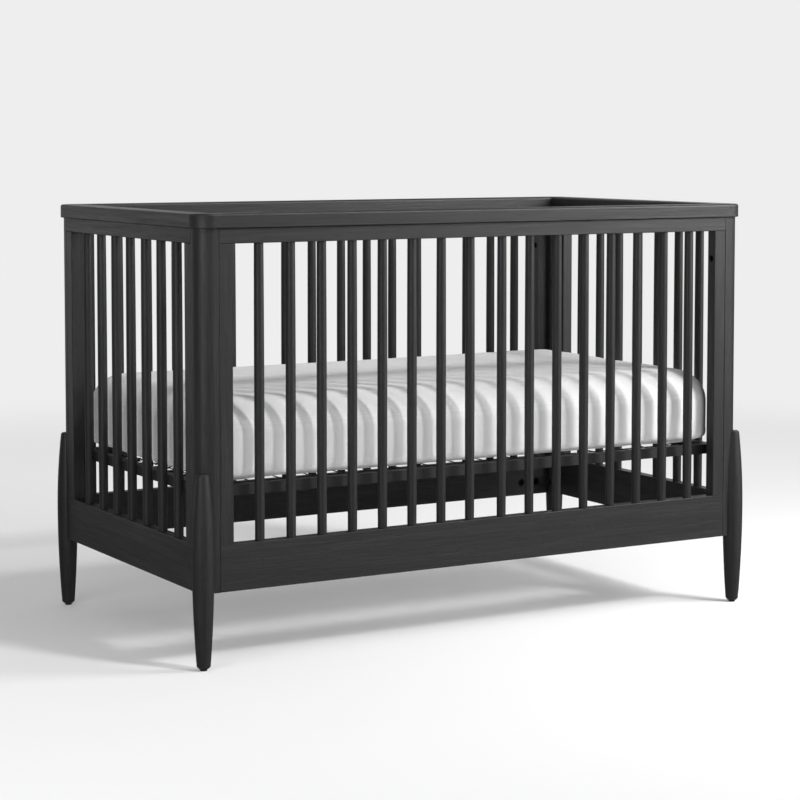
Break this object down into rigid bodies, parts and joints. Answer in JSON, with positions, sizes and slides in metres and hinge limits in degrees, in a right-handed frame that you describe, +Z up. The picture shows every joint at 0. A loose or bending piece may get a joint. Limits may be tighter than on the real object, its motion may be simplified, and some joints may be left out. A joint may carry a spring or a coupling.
{
  "type": "baby crib",
  "caption": "Full-size crib with spindle sides, capped top rail, turned corner legs, a height-adjustable wire-spring support and a mattress.",
  "frame": {"origin": "on the floor, under the middle of the crib", "axes": "+X along the crib to its right end, +Y to its back, +Z up"},
  "size_m": [1.413, 0.793, 0.936],
  "materials": {
    "black_wood": "satin",
    "dowel_wood": "matte",
    "black_steel": "satin",
    "spring_steel": "satin",
    "zinc_steel": "satin",
    "glide_plastic": "matte",
    "mattress_cover": "matte"
  },
  "bodies": {
    "crib": {"cap_front": "black_wood", "cap_back": "black_wood", "cap_left": "black_wood", "cap_right": "black_wood", "top_rail_front": "black_wood", "top_rail_back": "black_wood", "top_rail_left": "black_wood", "top_rail_right": "black_wood", "bottom_rail_front": "black_wood", "bottom_rail_back": "black_wood", "bottom_rail_left": "black_wood", "bottom_rail_right": "black_wood", "post_front_left": "black_wood", "post_front_right": "black_wood", "post_back_left": "black_wood", "post_back_right": "black_wood", "stile_front_left": "black_wood", "stile_front_right": "black_wood", "stile_back_left": "black_wood", "stile_back_right": "black_wood", "end_stile_front_left": "black_wood", "end_stile_front_right": "black_wood", "end_stile_back_left": "black_wood", "end_stile_back_right": "black_wood", "spindles_front_left": "black_wood", "spindles_front_right": "black_wood", "spindles_back_left": "black_wood", "spindles_back_right": "black_wood", "spindles_left_end": "black_wood", "spindles_right_end": "black_wood", "leg_front_left": "black_wood", "leg_front_right": "black_wood", "leg_back_left": "black_wood", "leg_back_right": "black_wood", "foot_glides": "glide_plastic", "panel_bolts": "black_steel", "panel_inserts": "zinc_steel", "leg_bolts": "black_steel", "end_rail_dowels": "dowel_wood", "rail_fittings": "black_steel", "height_inserts": "zinc_steel"},
    "support": {"support_rail_front": "black_steel", "support_rail_back": "black_steel", "support_rail_left": "black_steel", "support_rail_right": "black_steel", "bracket_front_left": "black_steel", "bracket_front_right": "black_steel", "bracket_back_left": "black_steel", "bracket_back_right": "black_steel", "height_bolts": "black_steel", "mesh_long_wires": "black_steel", "mesh_cross_wires": "black_steel", "mesh_end_springs": "spring_steel", "mesh_side_springs": "spring_steel"},
    "mattress": {"mattress": "mattress_cover"}
  },
  "joints": [
    {"name": "support_height", "type": "slide", "parent": "crib", "child": "support", "axis": [0, 0, 1], "range_m": [-0.095, 0.095]},
    {"name": "mattress_lift", "type": "slide", "parent": "support", "child": "mattress", "axis": [0, 0, 1], "range_m": [0, 0.24]}
  ]
}
